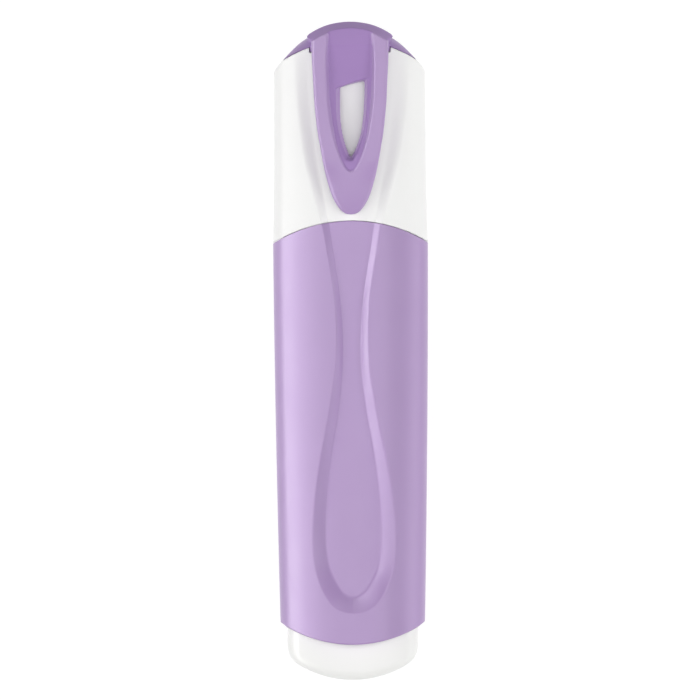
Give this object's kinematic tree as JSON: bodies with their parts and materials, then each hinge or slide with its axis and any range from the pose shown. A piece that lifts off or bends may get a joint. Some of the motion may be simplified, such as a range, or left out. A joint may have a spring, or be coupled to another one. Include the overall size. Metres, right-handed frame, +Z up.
{
  "type": "highlighter pen",
  "caption": "Flat-oval pocket highlighter: pull-off cap with a springy slotted clip, waisted grip recess, chisel nib and end plug.",
  "frame": {"origin": "centre of the footprint, on the surface that the pen lies on with its back down", "axes": "+Y along the pen towards the cap and the clip's root, +Z up through the front with the clip, +X across the width"},
  "size_m": [0.027, 0.1148, 0.019],
  "materials": {
    "barrel_plastic": "satin moulded pastel purple",
    "white_plastic": "semi-gloss moulded white",
    "section_plastic": "satin moulded white",
    "nib_fibre": "compressed polyester fibre soaked with purple ink",
    "ink_fibre": "bonded fibre rod soaked with purple ink",
    "wrap_film": "thin clear film",
    "cup_plastic": "natural soft plastic",
    "clip_plastic": "semi-gloss moulded purple"
  },
  "bodies": {
    "pen": {"barrel": "barrel_plastic", "end_plug": "white_plastic", "front_section": "section_plastic", "nib": "nib_fibre", "ink_reservoir": "ink_fibre", "reservoir_wrap": "wrap_film"},
    "cap": {"cap_shell": "white_plastic", "inner_cap": "cup_plastic", "clip_crown": "clip_plastic"},
    "clip": {"clip_tongue": "clip_plastic"}
  },
  "joints": [
    {"name": "cap_pull", "type": "slide", "parent": "pen", "child": "cap", "axis": [0, 1, 0], "range_m": [0, 0.04]},
    {"name": "clip_flex", "type": "hinge", "parent": "cap", "child": "clip", "pos_m": [0, 0.0529, 0.01747], "axis": [-1, 0, 0], "range_deg": [0, 5], "stiffness_Nm_per_rad": 1.2}
  ]
}
